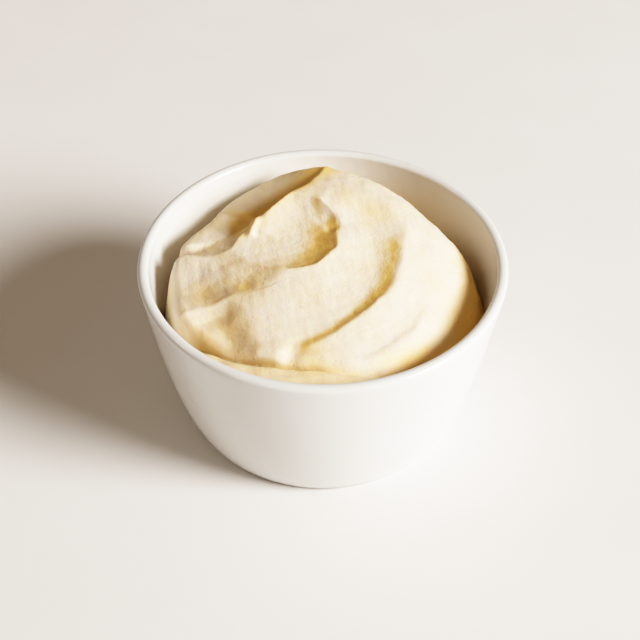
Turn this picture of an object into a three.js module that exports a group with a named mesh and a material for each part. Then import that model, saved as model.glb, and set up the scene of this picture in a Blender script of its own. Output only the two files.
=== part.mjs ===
// A side of mashed potato in its round bowl, spooned into one wide swirl.
// Millimetres, +Z up, origin under the middle of the foot ring.
import * as THREE from 'three';
import { mergeVertices } from 'three/addons/utils/BufferGeometryUtils.js';

// ---- Bowl
const RIM_RADIUS = 60;             // at the start of the rounded lip
const HEIGHT = 62.2;
const WALL = 3.6;
const LIP = 1.5;                   // height of the rounded lip
const WALL_SLOPE = 0.19;           // outward lean of the straight upper wall, mm per mm
const STRAIGHT_FROM = 50.8;        // the wall is straight above this height
const CURVE_CONTROL = 7.1;         // height of the point that pulls the lower wall round
const FOOT_RADIUS = 42.8;
const FOOT_ROUNDING = 0.7;
const RING_INNER = 39.2;
const RECESS = 1.5;                // hollow under the bowl, inside the foot ring
const FLOOR = 5.5;                 // top of the bowl's floor
const CORNER = 9;                  // rounding between the floor and the wall
const TURNS = 96;                  // steps round the axis, shared by bowl and mash

// ---- Mash
const GAP = 0.3;                   // kept between the mash and the bowl
const BRIM = 61.5;                 // the level from which all heights of the mash below count
const TOP_STEPS = 25;              // steps from the middle of the mash to the mound's edge
const EDGE_STEPS = 9;              // steps from there to the wall
const SIDE_STEPS = 3;              // steps down the hidden side
const LOW_EDGE = 0.6;              // where the hidden side starts to round in, as a share of the corner
const LOWEST_EDGE = 0.15;          // a second step of that rounding
const CURVE_STEPS = 8;             // samples between two rows of a curve below
const DOME = { top: 10, x: -2, y: 10, fall: 0.0038 };
const DRIFT = 0.5;                 // how far the spooned forms wander sideways
const SWELL = 0.3;                 // uneven rise and fall of the dome
const OUTLINE_WANDER = 0.12;       // uneven reach of the mound's outline

// The wide swirl is a dish turned about one point. Rows: angle, radius of its lowest line, level there,
// rise from it to the turning point, width of the wall outside it.
const SWIRL = {
  x: -6, y: 2, power: 1.35, wall: 4.8, wallPower: 1.8, blend: 0.7,
  rows: [
    [4, 23, 4, 7.4, 18], [22, 22.5, 5.4, 4.2, 34], [40, 19, 6.9, 1.5, 40], [57, 22, 8.5, 0.6, 50],
    [75, 26, 10, 0, 60], [90, 34, 16, 0, 60], [140, 40, 16, 0, 60], [165, 46, 0.8, 11.2, 60],
    [180, 46, -1.3, 9.6, 60], [200, 46, -1.8, 10.6, 60], [220, 44, -2.6, 13, 60], [240, 43, -2.4, 14.4, 60],
    [260, 40.5, -0.8, 11.8, 40], [272, 38, 0, 10.7, 15], [284, 34.5, 0.8, 10, 10],
    [298, 30.8, 1.4, 9.7, 9.4], [312, 28.6, 2.1, 8.4, 10], [327, 26, 2.7, 7.5, 13.5],
    [344, 24, 3.3, 7.9, 15.5],
  ],
};

// The scooped hollow: centre, turn, reach to each side, level, tilt along it, rise at the reach.
const HOLLOW = {
  x: -12, y: 5, turn: 3, ahead: 17.8, behind: 46, left: 17, right: 16.8, narrowing: 0.16,
  level: 3, tilt: 0.03, rise: 4, power: 2.9, blend: 0.4,
};

// Spoon strokes. Rows: x, y, level, width to the left of the way, width to its right. Sides: rise and power.
const VALLEY = {
  left: [-1.4, 1.35], right: [5, 1.35], blend: 0.6,
  rows: [
    [-39, 6.5, -1.3, 9, 15], [-32.5, 10.2, -0.5, 9, 11], [-28, 14.8, -1, 9, 6.2], [-25.2, 19.6, -0.5, 9, 4.7],
    [-22.2, 24.6, -0.1, 9, 4.6], [-18.6, 29.2, 0.4, 9, 4.7], [-13.9, 32.9, 1.2, 9, 4.7],
    [-8.9, 36, 2.6, 9, 4.6], [-4, 38.8, 4.6, 9, 4.3], [0, 41.2, 7, 9, 4.2],
  ],
};
const LEFT_TROUGH = {
  left: [2.6, 1.9], right: [2.6, 2], blend: 1.2,
  rows: [
    [-26, -13.5, 1.2, 4, 4.5], [-31, -13, -0.3, 5.5, 6], [-38, -11.5, -2.7, 7, 8.4],
    [-46, -10, -4.2, 8, 9.6], [-58, -9, -6.5, 9, 10],
  ],
};

// Folds. Rows: x, y, drop on the left of the way, lift on its right.
const OUTER_CREASE = {
  leftWidth: 4, rightWidth: 5, edge: 0.7,
  rows: [[10, -45, 0, 0], [18, -40, 0.6, 0.3], [24, -36, 0.7, 0.3], [30, -29, 0.5, 0.2], [33, -22, 0, 0]],
};
const SHOULDER = {
  leftWidth: 12, rightWidth: 10, edge: 6,
  rows: [
    [-20, -50, 0.6, 0.6], [-22, -44, 1.3, 1.1], [-23.8, -38, 1.6, 1.2], [-25.4, -32, 1.2, 1],
    [-26, -26, 0.5, 0.7], [-25, -20, 0.1, 0.5], [-22.5, -14, 0, 0.3], [-19, -8, 0, 0],
  ],
};
const SHELF = {
  leftWidth: 5, rightWidth: 3, edge: 0.6,
  rows: [
    [-22, 22, 0, 0], [-24.5, 24, 1.1, 0.3], [-27.5, 25.6, 1.5, 0.4], [-30, 27, 0.9, 0.3],
    [-33.5, 29.5, 0, 0],
  ],
};
const BEAK = {
  leftWidth: 4, rightWidth: 4, edge: 0.8,
  rows: [
    [-33, 10, 0, 0], [-38, 9.4, 0.8, 0.3], [-42, 8.9, 1.3, 0.5], [-46, 8.6, 1.5, 0.6],
    [-50, 8.6, 1.5, 0.6],
  ],
};
const CURL = {
  leftWidth: 5, rightWidth: 3, edge: 1.2,
  rows: [
    [-5, 19, 0, 0], [-3, 15.5, 0.2, 0.2], [-0.5, 12.5, 0.3, 0.2], [1.8, 9.5, 0.2, 0.1],
    [3, 7, 0, 0],
  ],
};
const FOLDS = [OUTER_CREASE, SHOULDER, SHELF, BEAK, CURL];

// Ridges, or grooves where the height is negative. Widths to the left and right of the way,
// and the shares of the way over which they fade in and out.
const BACK_LOBE = {
  height: 0.6, widths: [6, 4], fades: [0.4, 0.25],
  points: [[-36, 21], [-31, 28], [-27, 31], [-22, 35], [-14.5, 38.5], [-7, 41]],
};
const RIDGE_TAPER = 1.4;           // sharpness of a ridge's bell shape
const RIDGES = [
  {
    height: 0.8, widths: [3.5, 6], fades: [0.1, 0.45],
    points: [[-50, 2.2], [-43.5, 2.4], [-38, -2], [-34.7, -6.5], [-28, -9.6]],
  },
  {
    height: 1, widths: [4, 3], fades: [0.05, 0.3],
    points: [
      [-52, -24.4], [-47.8, -23.4], [-43.5, -22.2], [-40, -20.8], [-34, -19.4], [-29.4, -18.5],
      [-24.5, -17.8],
    ],
  },
  {
    height: -0.7, widths: [2.6, 3.4], fades: [0.3, 0.4],
    points: [[-43, -27.5], [-38, -26], [-32, -24.5], [-25, -24]],
  },
  {
    height: 1, widths: [1.3, 1.8], fades: [0.4, 0.2],
    points: [[-20.5, 17], [-22.2, 14], [-23, 11], [-22.8, 8.4]],
  },
  {
    height: -0.8, widths: [1.6, 3.4], fades: [0.35, 0.3],
    points: [[1, 18.5], [3, 15], [4, 11], [3.2, 6.5]],
  },
  {
    height: 1.4, widths: [6, 2.6], fades: [0.9, 0.08],
    points: [[-5, 30.3], [-10, 26.3], [-14.5, 22.3], [-18, 18], [-20.5, 13.7], [-22, 9.3]],
  },
];

// Soft bumps and dents: x, y, height, radius along X, radius along Y.
const BUMPS = [
  [38, -6, -3.8, 13, 30], [20, -30, -1.2, 14, 12], [28, 24, -1.6, 12, 12], [-26, -13.8, -1.8, 2.8, 2.4],
  [-16.5, -40.5, 1.3, 3.5, 5], [-8, -41, -1.1, 3.5, 4], [-46.5, -27, -5, 2.6, 2.4],
  [-26, 19, -2.2, 3, 4], [-33, -35, -1, 12, 6], [-32, 33, -3, 18, 14],
];

// The mound's outline. Rows: angle, radius, level of the mash around the mound, rounding of the mound's edge.
const OUTLINE = [
  [0, 48.5, -24, 17], [20, 44, -24, 12], [35, 39.5, -24, 8], [50, 38.5, -22, 6], [65, 39.5, -20, 5],
  [85, 41, -18, 4], [97, 43.5, -18, 4], [108, 48.5, -18, 4], [125, 49.5, -20, 4], [140, 47.6, -22, 4],
  [153, 46.6, -22, 3.5], [163, 47.2, -22, 2.5], [168, 47.2, -22, 2.5], [172, 44.8, -22, 2.2],
  [176, 47.8, -22, 2.2], [180, 48.9, -22, 2.5], [190, 49.4, -22, 2.5], [200, 50.8, -22, 2.5],
  [206, 51.4, -20, 2.5], [211, 51.2, -16, 2.5], [216, 50.2, -11, 2.5], [222, 49, -8, 2.5],
  [233, 48.6, -6, 2.5], [246, 46.4, -4.6, 2.5], [260, 45.4, -3.9, 2.5], [273, 45.9, -3.6, 2.5],
  [283, 48.4, -4.4, 3.5], [297, 50.8, -8, 6], [310, 50.5, -12, 9], [325, 49.2, -17, 15],
  [342, 48, -22, 18],
];
const EDGE_DROP = 0.6;             // drop of the mound at its outline, as a share of the rounding there
const SIDE_DROP = 4.5;             // steepness of its side past the outline, times the rounding
const LEAST_SIDE_DROP = 0.7;
const MEETING = { blend: 0.5, perDepth: 0.3, nearLayer: 5 }; // how softly the side meets the mash around it
const CREASE = { depth: 1.1, past: 0.6, width: 1 };          // a groove round the mound's foot
const LAYER_WAVES = { height: 0.1, perDepth: 0.03 };         // unevenness of the mash around the mound

// ---- Small maths
const { degToRad, euclideanModulo, clamp, smoothstep } = THREE.MathUtils;
const WAVES_PER_OCTAVE = 5;
const OCTAVE_RATE = 2.03;
const RATE_SPREAD = 0.13;          // how far the rates of an octave's waves lie apart
const WAVE_HEIGHT = 2.2;           // brings a sum of waves to about unit height
const DRAW_FACTOR = 16807;
const DRAW_MODULUS = 2147483647;
const HALVINGS = 24;

function softMin(a, b, blend) {
  const near = Math.max(blend - Math.abs(a - b), 0) / blend;
  return Math.min(a, b) - near * near * blend / 4;
}

function bell(t) {
  return Math.exp(-t * t);
}

// Rows of numbers joined by a smooth curve through every row, CURVE_STEPS samples to a span.
function smoothRows(rows) {
  const mirror = (a, b) => a.map((value, k) => 2 * value - b[k]);
  const all = [mirror(rows[0], rows[1]), ...rows, mirror(rows.at(-1), rows.at(-2))];
  const out = [];
  for (let i = 1; i < rows.length; i++) {
    const [p, q, r, s] = all.slice(i - 1, i + 3);
    for (let step = 0; step < CURVE_STEPS; step++) {
      const t = step / CURVE_STEPS;
      out.push(q.map((_, k) => (2 * q[k] + (r[k] - p[k]) * t + (2 * p[k] - 5 * q[k] + 4 * r[k] - s[k]) * t * t
        + (3 * q[k] - p[k] - 3 * r[k] + s[k]) * t ** 3) / 2));
    }
  }
  out.push(rows.at(-1));
  return out;
}

// Where (x, y) lies by a line of rows: signed distance, positive on the right of the way, the rows'
// other values at the nearest point, and its share of the line's length.
function nearest(line, x, y) {
  let found = { distance: Infinity };
  let gone = 0;
  for (let i = 1; i < line.length; i++) {
    const [a, b] = [line[i - 1], line[i]];
    const length = Math.hypot(b[0] - a[0], b[1] - a[1]);
    const [ux, uy] = [(b[0] - a[0]) / length, (b[1] - a[1]) / length];
    const [px, py] = [x - a[0], y - a[1]];
    const along = clamp(px * ux + py * uy, 0, length);
    const distance = Math.hypot(px - along * ux, py - along * uy);
    if (distance < Math.abs(found.distance)) {
      const side = px * uy - py * ux >= 0 ? 1 : -1;
      const values = a.slice(2).map((value, k) => value + (b[k + 2] - value) * along / length);
      found = { distance: distance * side, values, gone: gone + along };
    }
    gone += length;
  }
  return { ...found, share: found.gone / gone };
}

// A smooth curve round the full circle through rows that start with an angle; returns the other values.
function roundTable(rows, degrees) {
  const count = rows.length;
  const angle = euclideanModulo(degrees, 360);
  const after = rows.findIndex((row) => row[0] > angle);
  const i = (after < 0 ? count : after) - 1;
  const row = (k) => rows[euclideanModulo(k, count)];
  const at = (k) => row(k)[0] + 360 * Math.floor(k / count);
  const span = at(i + 1) - at(i);
  const t = (angle - at(i)) / span;
  return row(i).slice(1).map((q, k) => {
    const [p, r, s] = [row(i - 1)[k + 1], row(i + 1)[k + 1], row(i + 2)[k + 1]];
    const start = (r - p) / (at(i + 1) - at(i - 1)) * span;
    const end = (s - q) / (at(i + 2) - at(i)) * span;
    const values = q * (1 + 2 * t) * (1 - t) ** 2 + r * t * t * (3 - 2 * t);
    return values + start * t * (1 - t) ** 2 - end * t * t * (1 - t);
  });
}

// Seeded unevenness: waves in drawn directions, each octave half as high and about half as long.
function makeWaves(size, seed, octaves) {
  const waves = [];
  let state = seed;
  const draw = () => {
    state = state * DRAW_FACTOR % DRAW_MODULUS;
    return state / DRAW_MODULUS * 2 * Math.PI;
  };
  for (let octave = 0; octave < octaves; octave++) {
    for (let j = 0; j < WAVES_PER_OCTAVE; j++) {
      const direction = draw();
      const rate = 2 * Math.PI / size * OCTAVE_RATE ** octave * (1 + RATE_SPREAD * j);
      const [rateX, rateY] = [rate * Math.cos(direction), rate * Math.sin(direction)];
      waves.push({ rateX, rateY, phase: draw(), height: 0.5 ** octave });
    }
  }
  const total = waves.reduce((sum, wave) => sum + wave.height, 0);
  return (x, y) => {
    const add = (sum, wave) => sum + wave.height * Math.sin(wave.rateX * x + wave.rateY * y + wave.phase);
    return waves.reduce(add, 0) / total * WAVE_HEIGHT;
  };
}

// ---- The shaping tools: each changes the height z at (x, y)
function carveSwirl(z, tool, x, y) {
  const [dx, dy] = [x - tool.x, y - tool.y];
  const radius = Math.hypot(dx, dy);
  const [lowest, level, rise, width] = roundTable(tool.rows, Math.atan2(dy, dx) / degToRad(1));
  const inner = rise * (Math.max(lowest - radius, 0) / lowest) ** tool.power;
  const outer = tool.wall * (Math.max(radius - lowest, 0) / width) ** tool.wallPower;
  return softMin(z, level + inner + outer, tool.blend);
}

function carveHollow(z, tool, x, y) {
  const turn = degToRad(tool.turn);
  const [dx, dy] = [x - tool.x, y - tool.y];
  const u = dx * Math.cos(turn) + dy * Math.sin(turn);
  const v = dy * Math.cos(turn) - dx * Math.sin(turn);
  const right = tool.right + tool.narrowing * Math.min(u, 0);
  const share = Math.hypot(u / (u > 0 ? tool.ahead : tool.behind), v / (v > 0 ? tool.left : right));
  return softMin(z, tool.level + tool.tilt * u + tool.rise * share ** tool.power, tool.blend);
}

function carveStroke(z, tool, x, y) {
  const { distance, values: [level, leftWidth, rightWidth] } = nearest(tool.line, x, y);
  const [rise, power] = distance < 0 ? tool.left : tool.right;
  const width = distance < 0 ? leftWidth : rightWidth;
  return softMin(z, level + rise * (Math.abs(distance) / width) ** power, tool.blend);
}

function addFold(z, tool, x, y) {
  const { distance, values: [drop, lift] } = nearest(tool.line, x, y);
  const left = -drop * bell(Math.min(distance + tool.edge, 0) / tool.leftWidth);
  const right = lift * bell(Math.max(distance - tool.edge, 0) / tool.rightWidth);
  return z + left + (right - left) * smoothstep(distance, -tool.edge, tool.edge);
}

function addRidge(z, tool, x, y) {
  const { distance, share } = nearest(tool.line, x, y);
  const width = tool.widths[distance < 0 ? 0 : 1];
  const strength = smoothstep(share, 0, tool.fades[0]) * smoothstep(1 - share, 0, tool.fades[1]);
  return z + tool.height * strength * Math.exp(-RIDGE_TAPER * (distance / width) ** 2);
}

for (const tool of [VALLEY, LEFT_TROUGH, ...FOLDS]) {
  tool.line = smoothRows(tool.rows);
}
for (const tool of [BACK_LOBE, ...RIDGES]) {
  tool.line = smoothRows(tool.points);
}

// Unevenness of a size, with its seed and octaves.
const driftX = makeWaves(22, 11, 3);
const driftY = makeWaves(22, 23, 3);
const swell = makeWaves(30, 5, 3);
const outlineWaves = makeWaves(9, 31, 2);
const layerWaves = makeWaves(14, 41, 2);

// The spooned top of the mound, before its edge turns down.
function moundTop(x, y) {
  const sx = x + DRIFT * driftX(x, y);
  const sy = y + DRIFT * driftY(x, y);
  let z = DOME.top - DOME.fall * ((x - DOME.x) ** 2 + (y - DOME.y) ** 2) + SWELL * swell(x, y);
  for (const [bx, by, height, rx, ry] of BUMPS) {
    z += height * bell(Math.hypot((sx - bx) / rx, (sy - by) / ry));
  }
  z = addRidge(z, BACK_LOBE, sx, sy);
  z = carveSwirl(z, SWIRL, sx, sy);
  z = carveStroke(z, VALLEY, sx, sy);
  z = carveHollow(z, HOLLOW, sx, sy);
  z = carveStroke(z, LEFT_TROUGH, sx, sy);
  for (const fold of FOLDS) {
    z = addFold(z, fold, sx, sy);
  }
  for (const ridge of RIDGES) {
    z = addRidge(z, ridge, sx, sy);
  }
  return z;
}

// How far (x, y) lies past the mound's outline, with the level and rounding there.
function outlineAt(x, y) {
  const [radius, layer, rounding] = roundTable(OUTLINE, Math.atan2(y, x) / degToRad(1));
  return { past: Math.hypot(x, y) - radius - OUTLINE_WANDER * outlineWaves(x, y), layer, rounding };
}

// The mash's top surface: the mound, rounded down at its outline to the lower layer around it.
// The mound meets a near layer in a crease, and a deep one in a wide slope.
function mashHeight(x, y) {
  const { past, layer, rounding } = outlineAt(x, y);
  const share = Math.max((past + rounding) / rounding, 0);
  const side = Math.max(SIDE_DROP / rounding, LEAST_SIDE_DROP) * Math.max(past, 0) ** 2;
  const drop = EDGE_DROP * rounding * share ** 2 + side;
  const blend = MEETING.blend + MEETING.perDepth * Math.max(-layer - MEETING.nearLayer, 0);
  const crease = CREASE.depth * bell((past - CREASE.past) / CREASE.width);
  const waves = (LAYER_WAVES.height - LAYER_WAVES.perDepth * layer) * layerWaves(x, y);
  return -softMin(drop - moundTop(x, y), crease - layer - waves, blend);
}

// ---- Bowl wall
function outerRadius(z) {
  const rimLine = (height) => RIM_RADIUS - WALL_SLOPE * (HEIGHT - LIP - height);
  if (z > STRAIGHT_FROM) {
    return rimLine(z);
  }
  const bend = STRAIGHT_FROM - 2 * CURVE_CONTROL;
  const t = (Math.sqrt(CURVE_CONTROL ** 2 + bend * z) - CURVE_CONTROL) / bend;
  const [middle, top] = [rimLine(CURVE_CONTROL), rimLine(STRAIGHT_FROM)];
  return FOOT_RADIUS * (1 - t) ** 2 + 2 * t * (1 - t) * middle + t * t * top;
}

// Radius of the inner wall, with its rounded corner down to the floor.
function innerRadius(z) {
  const wall = outerRadius(Math.max(z, FLOOR + CORNER)) - WALL;
  const under = clamp((FLOOR + CORNER - z) / CORNER, 0, 1);
  return wall - CORNER * (1 - Math.sqrt(1 - under * under));
}

function between(from, to, steps, point) {
  return Array.from({ length: steps + 1 }, (_, i) => point(from + (to - from) * i / steps));
}

const PROFILE_STEPS = { foot: 2, outside: 7, lip: 6, inside: 6, corner: 4 };
const WALL_FROM = 2;               // lowest step of the outer wall, above the foot's rounding

function bowlProfile() {
  const lip = HEIGHT - LIP;
  const lipOuter = outerRadius(lip);
  const lipInner = innerRadius(lip);
  const lipMiddle = (lipOuter + lipInner) / 2;
  const footTurn = (angle) => [
    FOOT_RADIUS - FOOT_ROUNDING + FOOT_ROUNDING * Math.sin(angle),
    FOOT_ROUNDING * (1 - Math.cos(angle)),
  ];
  const lipTurn = (angle) => [
    lipMiddle + (lipOuter - lipMiddle) * Math.cos(angle),
    lip + LIP * Math.sin(angle),
  ];
  const cornerTurn = (angle) => {
    const z = FLOOR + CORNER * (1 - Math.sin(angle));
    return [innerRadius(z), z];
  };
  return [
    [0, RECESS], [RING_INNER - RECESS, RECESS], [RING_INNER, 0],
    ...between(0, Math.PI / 3, PROFILE_STEPS.foot, footTurn),
    ...between(WALL_FROM, STRAIGHT_FROM, PROFILE_STEPS.outside, (z) => [outerRadius(z), z]),
    ...between(0, Math.PI, PROFILE_STEPS.lip, lipTurn),
    ...between(STRAIGHT_FROM, FLOOR + CORNER, PROFILE_STEPS.inside, (z) => [innerRadius(z), z]),
    ...between(0, Math.PI / 2, PROFILE_STEPS.corner, cornerTurn).slice(1),
    [0, FLOOR],
  ];
}

function makeBowl() {
  const points = bowlProfile().map(([radius, z]) => new THREE.Vector2(radius, z));
  const geometry = new THREE.LatheGeometry(points, TURNS);
  geometry.rotateX(Math.PI / 2);
  const glaze = new THREE.MeshStandardMaterial({ color: 0xf1efec, roughness: 0.15, metalness: 0 });
  const mesh = new THREE.Mesh(geometry, glaze);
  mesh.name = 'bowl';
  return mesh;
}

// ---- Mash solid
// The radius at which the top surface reaches the bowl's wall, by halving the stretch that holds it.
function wallContact(angle) {
  let [inside, outside] = [FOOT_RADIUS / 2, RIM_RADIUS];
  for (let i = 0; i < HALVINGS; i++) {
    const radius = (inside + outside) / 2;
    const z = mashHeight(radius * Math.cos(angle), radius * Math.sin(angle));
    if (radius < innerRadius(BRIM + z - GAP) - GAP) {
      inside = radius;
    } else {
      outside = radius;
    }
  }
  return inside;
}

const LEAST_EDGE = 4;              // narrowest ring between the mound's edge and the wall

// One line of points from beside the top's middle out to the wall, then down the wall to the floor.
function mashLine(angle) {
  const [cos, sin] = [Math.cos(angle), Math.sin(angle)];
  const reach = wallContact(angle);
  const { past, rounding } = outlineAt(reach * cos, reach * sin);
  const edge = reach - Math.max(past + rounding / 2, LEAST_EDGE);
  const onTop = (radius) => [radius * cos, radius * sin, BRIM + mashHeight(radius * cos, radius * sin)];
  const top = between(edge / TOP_STEPS, edge, TOP_STEPS - 1, onTop);
  const rim = between(edge, reach, EDGE_STEPS, onTop).slice(1);
  const bottom = FLOOR + GAP;
  const down = (z) => {
    const radius = innerRadius(z - GAP) - GAP;
    return [radius * cos, radius * sin, z];
  };
  const side = between(rim.at(-1)[2], bottom + CORNER * LOW_EDGE, SIDE_STEPS, down).slice(1);
  return [...top, ...rim, ...side, down(bottom + CORNER * LOWEST_EDGE), down(bottom)];
}

function makeMash() {
  const lines = Array.from({ length: TURNS }, (_, j) => mashLine(2 * Math.PI * j / TURNS));
  const rows = lines[0].length;
  const centres = [[0, 0, BRIM + mashHeight(0, 0)], [0, 0, FLOOR + GAP]];
  const [topCentre, bottomCentre] = [TURNS * rows, TURNS * rows + 1];
  const index = [];
  for (let j = 0; j < TURNS; j++) {
    const here = j * rows;
    const next = (j + 1) % TURNS * rows;
    index.push(topCentre, here, next);
    for (let i = 0; i < rows - 1; i++) {
      index.push(here + i, here + i + 1, next + i + 1, here + i, next + i + 1, next + i);
    }
    index.push(here + rows - 1, bottomCentre, next + rows - 1);
  }
  const points = [...lines.flat(), ...centres].flat();
  const geometry = new THREE.BufferGeometry();
  geometry.setAttribute('position', new THREE.Float32BufferAttribute(points, 3));
  geometry.setIndex(index);
  const solid = mergeVertices(geometry);
  solid.computeVertexNormals();
  const potato = new THREE.MeshStandardMaterial({ color: 0xf0e2c4, roughness: 0.6, metalness: 0 });
  const mesh = new THREE.Mesh(solid, potato);
  mesh.name = 'mashed_potato';
  return mesh;
}

const side = new THREE.Group();
side.add(makeBowl(), makeMash());

export default side;
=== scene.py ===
"""A side of mashed potato in its round bowl: the white glazed bowl and the spooned swirl of mash.

Shapes are worked out in millimetres, +Z up, from the middle of the foot ring, and put into meshes in metres.
Heights of the mash count from the bowl's brim.
"""

import math

import bpy
import numpy as np
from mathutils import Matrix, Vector


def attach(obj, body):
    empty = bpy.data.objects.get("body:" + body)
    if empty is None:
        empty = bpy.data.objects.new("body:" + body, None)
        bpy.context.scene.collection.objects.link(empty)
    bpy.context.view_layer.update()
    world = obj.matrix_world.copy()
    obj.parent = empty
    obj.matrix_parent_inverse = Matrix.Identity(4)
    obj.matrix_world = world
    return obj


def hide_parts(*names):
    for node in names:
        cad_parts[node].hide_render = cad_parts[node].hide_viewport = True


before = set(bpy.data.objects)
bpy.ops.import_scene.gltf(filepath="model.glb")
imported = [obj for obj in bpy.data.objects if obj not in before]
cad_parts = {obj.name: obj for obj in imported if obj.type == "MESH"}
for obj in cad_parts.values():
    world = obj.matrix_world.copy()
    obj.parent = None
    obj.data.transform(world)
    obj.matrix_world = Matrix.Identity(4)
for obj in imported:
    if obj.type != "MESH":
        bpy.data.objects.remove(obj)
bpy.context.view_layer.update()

MM = 0.001

# ---- Bowl sizes
RIM_RADIUS = 60.0  # at the start of the rounded lip
HEIGHT = 62.2
WALL = 3.6
LIP = 1.5  # height of the rounded lip
WALL_SLOPE = 0.19  # outward lean of the straight upper wall
STRAIGHT_FROM = 50.8  # the wall is straight above this height
CURVE_CONTROL = 7.1  # height of the point that pulls the lower wall round
FOOT_RADIUS = 42.8
FOOT_ROUNDING = 0.7
RING_INNER = 39.2
RECESS = 1.5  # hollow under the bowl, inside the foot ring
FLOOR = 5.5  # top of the bowl's floor
CORNER = 9.0  # rounding between the floor and the wall
BOWL_TURNS = 192
PROFILE_STEPS = dict(floor=8, corner=14, inside=24, lip=20, outside=30, foot=7, ring=3, recess=4)
WALL_FROM = 2  # lowest step of the outer wall, above the foot's rounding
MIDDLE_RING = 6  # radius of the smallest ring of points, on the floor and in the recess
FLOOR_MARGIN = 2  # between the floor's widest ring and the corner
RECESS_RING = 30  # radius of the recess's widest ring

# ---- Mash sizes
BRIM = 61.5  # the level from which all heights of the mash count
TOUCH = 0.05  # left between the mash and the wall
MASH_TURNS = 540
TOP_STEPS = 118  # steps from the middle of the mash to the mound's edge
EDGE_STEPS = 46  # steps from there to the wall
SIDE_STEPS = 8  # steps down the hidden side
LEAST_EDGE = 4  # narrowest ring between the mound's edge and the wall
SIDE_END = 0.1  # height at which the hidden side ends, above the flat bottom
DOME = dict(top=10, x=-2, y=10, fall=0.0038)
DRIFT = 0.5  # how far the spooned forms wander sideways
SWELL = 0.3  # uneven rise and fall of the dome
RIPPLE = 0.08  # small unevenness of the finished top
OUTLINE_WANDER = 0.12  # uneven reach of the mound's outline

# The wide swirl is a dish turned about one point. Rows: angle, radius of its lowest line, level there, rise
# from it to the turning point, width of the wall outside it.
SWIRL = dict(
    x=-6, y=2, power=1.35, wall=4.8, wall_power=1.8, blend=0.7,
    rows=[
        (4, 23, 4, 7.4, 18), (22, 22.5, 5.4, 4.2, 34), (40, 19, 6.9, 1.5, 40), (57, 22, 8.5, 0.6, 50),
        (75, 26, 10, 0, 60), (90, 34, 16, 0, 60), (140, 40, 16, 0, 60), (165, 46, 0.8, 11.2, 60),
        (180, 46, -1.3, 9.6, 60), (200, 46, -1.8, 10.6, 60), (220, 44, -2.6, 13, 60),
        (240, 43, -2.4, 14.4, 60), (260, 40.5, -0.8, 11.8, 40), (272, 38, 0, 10.7, 15),
        (284, 34.5, 0.8, 10, 10), (298, 30.8, 1.4, 9.7, 9.4), (312, 28.6, 2.1, 8.4, 10),
        (327, 26, 2.7, 7.5, 13.5), (344, 24, 3.3, 7.9, 15.5),
    ],
)

# The scooped hollow: centre, turn, reach to each side, level, tilt along it, rise at the reach.
HOLLOW = dict(
    x=-12, y=5, turn=3, ahead=17.8, behind=46, left=17, right=16.8, narrowing=0.16,
    level=3, tilt=0.03, rise=4.1, power=3.3, blend=0.3,
)

# Spoon strokes. Rows: x, y, level, width to the left of the way, width to its right. Sides: rise and power.
VALLEY = dict(
    left=(-1.4, 1.35), right=(5, 1.35), blend=0.4,
    rows=[
        (-42, 8, -1.2, 9, 17), (-36.5, 11.2, -1, 9, 14), (-30.2, 15.4, -1.5, 9, 7.4),
        (-25.6, 19.3, -1.5, 9, 4.4), (-21.4, 23.7, -0.9, 9, 4.5), (-17.4, 27.9, -0.5, 9, 4.6),
        (-12.7, 31.6, 0.4, 9, 4.6), (-8, 35, 2.1, 9, 4.6), (-3.4, 38.4, 4.7, 9, 4.5),
        (0.6, 41.6, 7.3, 9, 4.4),
    ],
)
LEFT_TROUGH = dict(
    left=(2.6, 1.9), right=(2.6, 2), blend=2,
    rows=[
        (-26, -13.5, 1.3, 5, 4.5), (-31, -13, -0.2, 6.5, 6), (-38, -11.5, -2.6, 8, 8.4),
        (-46, -10, -4.2, 8.5, 9.6), (-58, -9, -6.5, 9, 10),
    ],
)

# Folds. Rows: x, y, drop on the left of the way, lift on its right.
OUTER_CREASE = dict(
    left_width=4, right_width=5, edge=1.3,
    rows=[
        (8.9, -45, 0, 0), (15.1, -42.4, 0.25, 0.15), (20.8, -37.2, 0.3, 0.2), (25.6, -32.4, 0.35, 0.2),
        (28.9, -27.5, 0.4, 0.2), (31.2, -23.6, 0.3, 0.1), (35.4, -17.8, 0, 0),
    ],
)
SHOULDER = dict(
    left_width=12, right_width=11, edge=5,
    rows=[
        (-20, -50, 0.6, 0.6), (-22, -44, 1.3, 1.1), (-24.2, -38, 1.6, 1.4), (-26.4, -32, 1.2, 1.7),
        (-29, -26, 0.7, 1.8), (-31.5, -20.5, 0.4, 1.4), (-32.5, -15, 0.1, 0.6), (-33, -10, 0, 0),
    ],
)
SHELF = dict(
    left_width=5, right_width=3, edge=0.6,
    rows=[
        (-22, 22, 0, 0), (-24.5, 24, 1.1, 0.3), (-27.5, 25.6, 1.5, 0.4), (-30, 27, 0.9, 0.3),
        (-33.5, 29.5, 0, 0),
    ],
)
BEAK = dict(
    left_width=4, right_width=4, edge=0.8,
    rows=[
        (-36, 10, 0, 0), (-40, 9.3, 0.7, 0.3), (-43, 8.9, 1.3, 0.5), (-46, 8.6, 1.5, 0.6),
        (-50, 8.6, 1.5, 0.6),
    ],
)
CURL = dict(
    left_width=5, right_width=3, edge=1.2,
    rows=[(-5, 19, 0, 0), (-3, 15.5, 0.2, 0.2), (-0.5, 12.5, 0.3, 0.2), (1.8, 9.5, 0.2, 0.1), (3, 7, 0, 0)],
)
FOLDS = [OUTER_CREASE, SHOULDER, SHELF, BEAK, CURL]

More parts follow.
